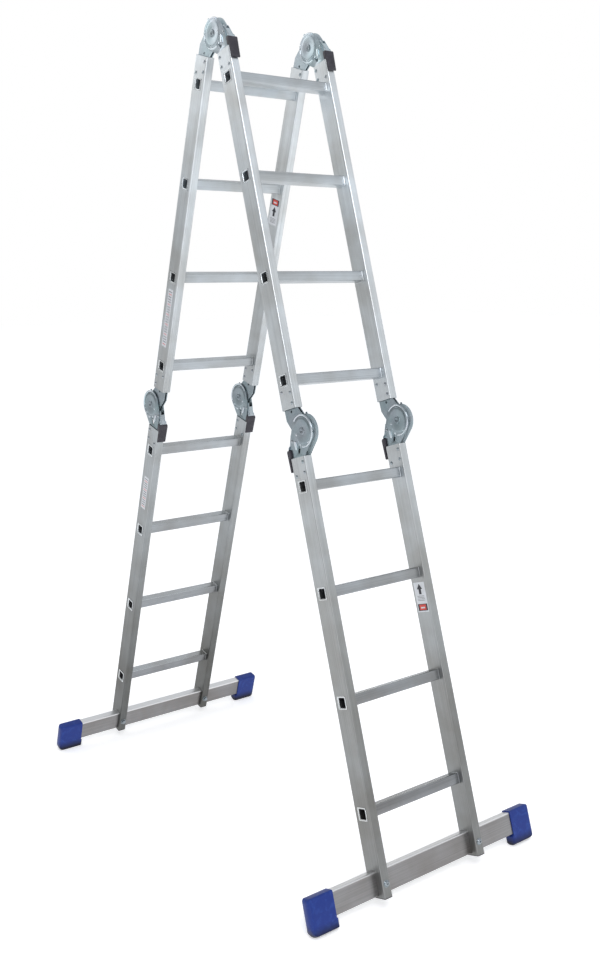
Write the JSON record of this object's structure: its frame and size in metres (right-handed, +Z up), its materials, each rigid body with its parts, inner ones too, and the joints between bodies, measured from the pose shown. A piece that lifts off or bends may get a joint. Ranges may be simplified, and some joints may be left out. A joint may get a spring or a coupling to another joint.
{
  "type": "multi position ladder",
  "caption": "Folding aluminium ladder in hinged sections, standing as an A-frame on two stabiliser bars with blue feet; every hinge has a spring lever and a sliding lock pin.",
  "frame": {"origin": "on the floor, midway between the four feet", "axes": "+X along the rungs to the right as seen by a climber on the front ladder, which is on the -Y side; +Z up"},
  "size_m": [0.782, 1.4488, 2.2742],
  "materials": {
    "stile_aluminium": "mill finish, extruded",
    "rung_aluminium": "mill finish, ribbed tread",
    "bar_aluminium": "mill finish, extruded",
    "cheek_zinc_steel": "blue-white zinc plating, pressed",
    "plate_zinc_steel": "blue-white zinc plating",
    "lever_zinc_steel": "bright zinc plating",
    "bright_steel": "bright zinc plating",
    "spring_steel": "oiled",
    "black_plastic": "moulded, satin",
    "blue_plastic": "moulded, satin"
  },
  "bodies": {
    "front_upper_section": {"front_upper_left_stile": "stile_aluminium", "front_upper_right_stile": "stile_aluminium", "front_upper_rungs": "rung_aluminium", "top_left_hinge_outer_half": "cheek_zinc_steel", "top_right_hinge_outer_half": "cheek_zinc_steel", "top_hinge_pivot_rivets": "bright_steel", "top_lever_springs": "spring_steel", "front_left_hinge_inner_half": "plate_zinc_steel", "front_right_hinge_inner_half": "plate_zinc_steel", "front_upper_rivets": "bright_steel"},
    "rear_upper_section": {"rear_upper_left_stile": "stile_aluminium", "rear_upper_right_stile": "stile_aluminium", "rear_upper_rungs": "rung_aluminium", "top_left_hinge_inner_half": "plate_zinc_steel", "top_right_hinge_inner_half": "plate_zinc_steel", "rear_left_hinge_inner_half": "plate_zinc_steel", "rear_right_hinge_inner_half": "plate_zinc_steel", "rear_upper_rivets": "bright_steel"},
    "front_lower_section": {"front_lower_left_stile": "stile_aluminium", "front_lower_right_stile": "stile_aluminium", "front_lower_rungs": "rung_aluminium", "front_left_hinge_outer_half": "cheek_zinc_steel", "front_right_hinge_outer_half": "cheek_zinc_steel", "front_hinge_pivot_rivets": "bright_steel", "front_lever_springs": "spring_steel", "front_lower_fasteners": "bright_steel", "front_stabiliser_bar": "bar_aluminium", "front_left_foot": "blue_plastic", "front_right_foot": "blue_plastic", "front_stile_plugs": "black_plastic"},
    "rear_lower_section": {"rear_lower_left_stile": "stile_aluminium", "rear_lower_right_stile": "stile_aluminium", "rear_lower_rungs": "rung_aluminium", "rear_left_hinge_outer_half": "cheek_zinc_steel", "rear_right_hinge_outer_half": "cheek_zinc_steel", "rear_hinge_pivot_rivets": "bright_steel", "rear_lever_springs": "spring_steel", "rear_lower_fasteners": "bright_steel", "rear_stabiliser_bar": "bar_aluminium", "rear_left_foot": "blue_plastic", "rear_right_foot": "blue_plastic", "rear_stile_plugs": "black_plastic"},
    "top_left_release": {"top_left_lever": "lever_zinc_steel", "top_left_lever_pad": "black_plastic"},
    "top_left_lock": {"top_left_lock_pin": "bright_steel"},
    "top_right_release": {"top_right_lever": "lever_zinc_steel", "top_right_lever_pad": "black_plastic"},
    "top_right_lock": {"top_right_lock_pin": "bright_steel"},
    "front_left_release": {"front_left_lever": "lever_zinc_steel", "front_left_lever_pad": "black_plastic"},
    "front_left_lock": {"front_left_lock_pin": "bright_steel"},
    "front_right_release": {"front_right_lever": "lever_zinc_steel", "front_right_lever_pad": "black_plastic"},
    "front_right_lock": {"front_right_lock_pin": "bright_steel"},
    "rear_left_release": {"rear_left_lever": "lever_zinc_steel", "rear_left_lever_pad": "black_plastic"},
    "rear_left_lock": {"rear_left_lock_pin": "bright_steel"},
    "rear_right_release": {"rear_right_lever": "lever_zinc_steel", "rear_right_lever_pad": "black_plastic"},
    "rear_right_lock": {"rear_right_lock_pin": "bright_steel"}
  },
  "joints": [
    {"name": "top_fold", "type": "hinge", "parent": "front_upper_section", "child": "rear_upper_section", "pos_m": [0, 0, 2.23017], "axis": [-1, 0, 0], "range_deg": [-146.8, 32.2]},
    {"name": "front_fold", "type": "hinge", "parent": "front_upper_section", "child": "front_lower_section", "pos_m": [0, -0.39146, 1.17607], "axis": [-1, 0, 0], "range_deg": [0, 180]},
    {"name": "rear_fold", "type": "hinge", "parent": "rear_upper_section", "child": "rear_lower_section", "pos_m": [0, 0.39146, 1.17607], "axis": [1, 0, 0], "range_deg": [0, 180]},
    {"name": "top_left_release_turn", "type": "hinge", "parent": "front_upper_section", "child": "top_left_release", "pos_m": [-0.165, -0.0543, 2.22653], "axis": [1, 0, 0], "range_deg": [-13, 0], "stiffness_Nm_per_rad": 1, "springref_deg": 17.19},
    {"name": "top_left_lock_slide", "type": "slide", "parent": "front_upper_section", "child": "top_left_lock", "axis": [0, -0.7145, -0.6997], "range_m": [0, 0.008]},
    {"name": "top_right_release_turn", "type": "hinge", "parent": "front_upper_section", "child": "top_right_release", "pos_m": [0.165, -0.0543, 2.22653], "axis": [1, 0, 0], "range_deg": [-13, 0], "stiffness_Nm_per_rad": 1, "springref_deg": 17.19},
    {"name": "top_right_lock_slide", "type": "slide", "parent": "front_upper_section", "child": "top_right_lock", "axis": [0, -0.7145, -0.6997], "range_m": [0, 0.008]},
    {"name": "front_left_release_turn", "type": "hinge", "parent": "front_lower_section", "child": "front_left_release", "pos_m": [-0.165, -0.34801, 1.14329], "axis": [1, 0, 0], "range_deg": [0, 13], "stiffness_Nm_per_rad": 1, "springref_deg": -17.19},
    {"name": "front_left_lock_slide", "type": "slide", "parent": "front_lower_section", "child": "front_left_lock", "axis": [0, 0.2147, -0.9767], "range_m": [0, 0.008]},
    {"name": "front_right_release_turn", "type": "hinge", "parent": "front_lower_section", "child": "front_right_release", "pos_m": [0.165, -0.34801, 1.14329], "axis": [1, 0, 0], "range_deg": [0, 13], "stiffness_Nm_per_rad": 1, "springref_deg": -17.19},
    {"name": "front_right_lock_slide", "type": "slide", "parent": "front_lower_section", "child": "front_right_lock", "axis": [0, 0.2147, -0.9767], "range_m": [0, 0.008]},
    {"name": "rear_left_release_turn", "type": "hinge", "parent": "rear_lower_section", "child": "rear_left_release", "pos_m": [-0.165, 0.34801, 1.14329], "axis": [-1, 0, 0], "range_deg": [0, 13], "stiffness_Nm_per_rad": 1, "springref_deg": -17.19},
    {"name": "rear_left_lock_slide", "type": "slide", "parent": "rear_lower_section", "child": "rear_left_lock", "axis": [0, -0.2147, -0.9767], "range_m": [0, 0.008]},
    {"name": "rear_right_release_turn", "type": "hinge", "parent": "rear_lower_section", "child": "rear_right_release", "pos_m": [0.165, 0.34801, 1.14329], "axis": [-1, 0, 0], "range_deg": [0, 13], "stiffness_Nm_per_rad": 1, "springref_deg": -17.19},
    {"name": "rear_right_lock_slide", "type": "slide", "parent": "rear_lower_section", "child": "rear_right_lock", "axis": [0, -0.2147, -0.9767], "range_m": [0, 0.008]}
  ],
  "couplings": [
    {"joint": "top_left_lock_slide", "follows": "top_left_release_turn", "m_per_rad": -0.035188},
    {"joint": "top_right_lock_slide", "follows": "top_right_release_turn", "m_per_rad": -0.035188},
    {"joint": "front_left_lock_slide", "follows": "front_left_release_turn", "m_per_rad": 0.035188},
    {"joint": "front_right_lock_slide", "follows": "front_right_release_turn", "m_per_rad": 0.035188},
    {"joint": "rear_left_lock_slide", "follows": "rear_left_release_turn", "m_per_rad": 0.035188},
    {"joint": "rear_right_lock_slide", "follows": "rear_right_release_turn", "m_per_rad": 0.035188}
  ]
}
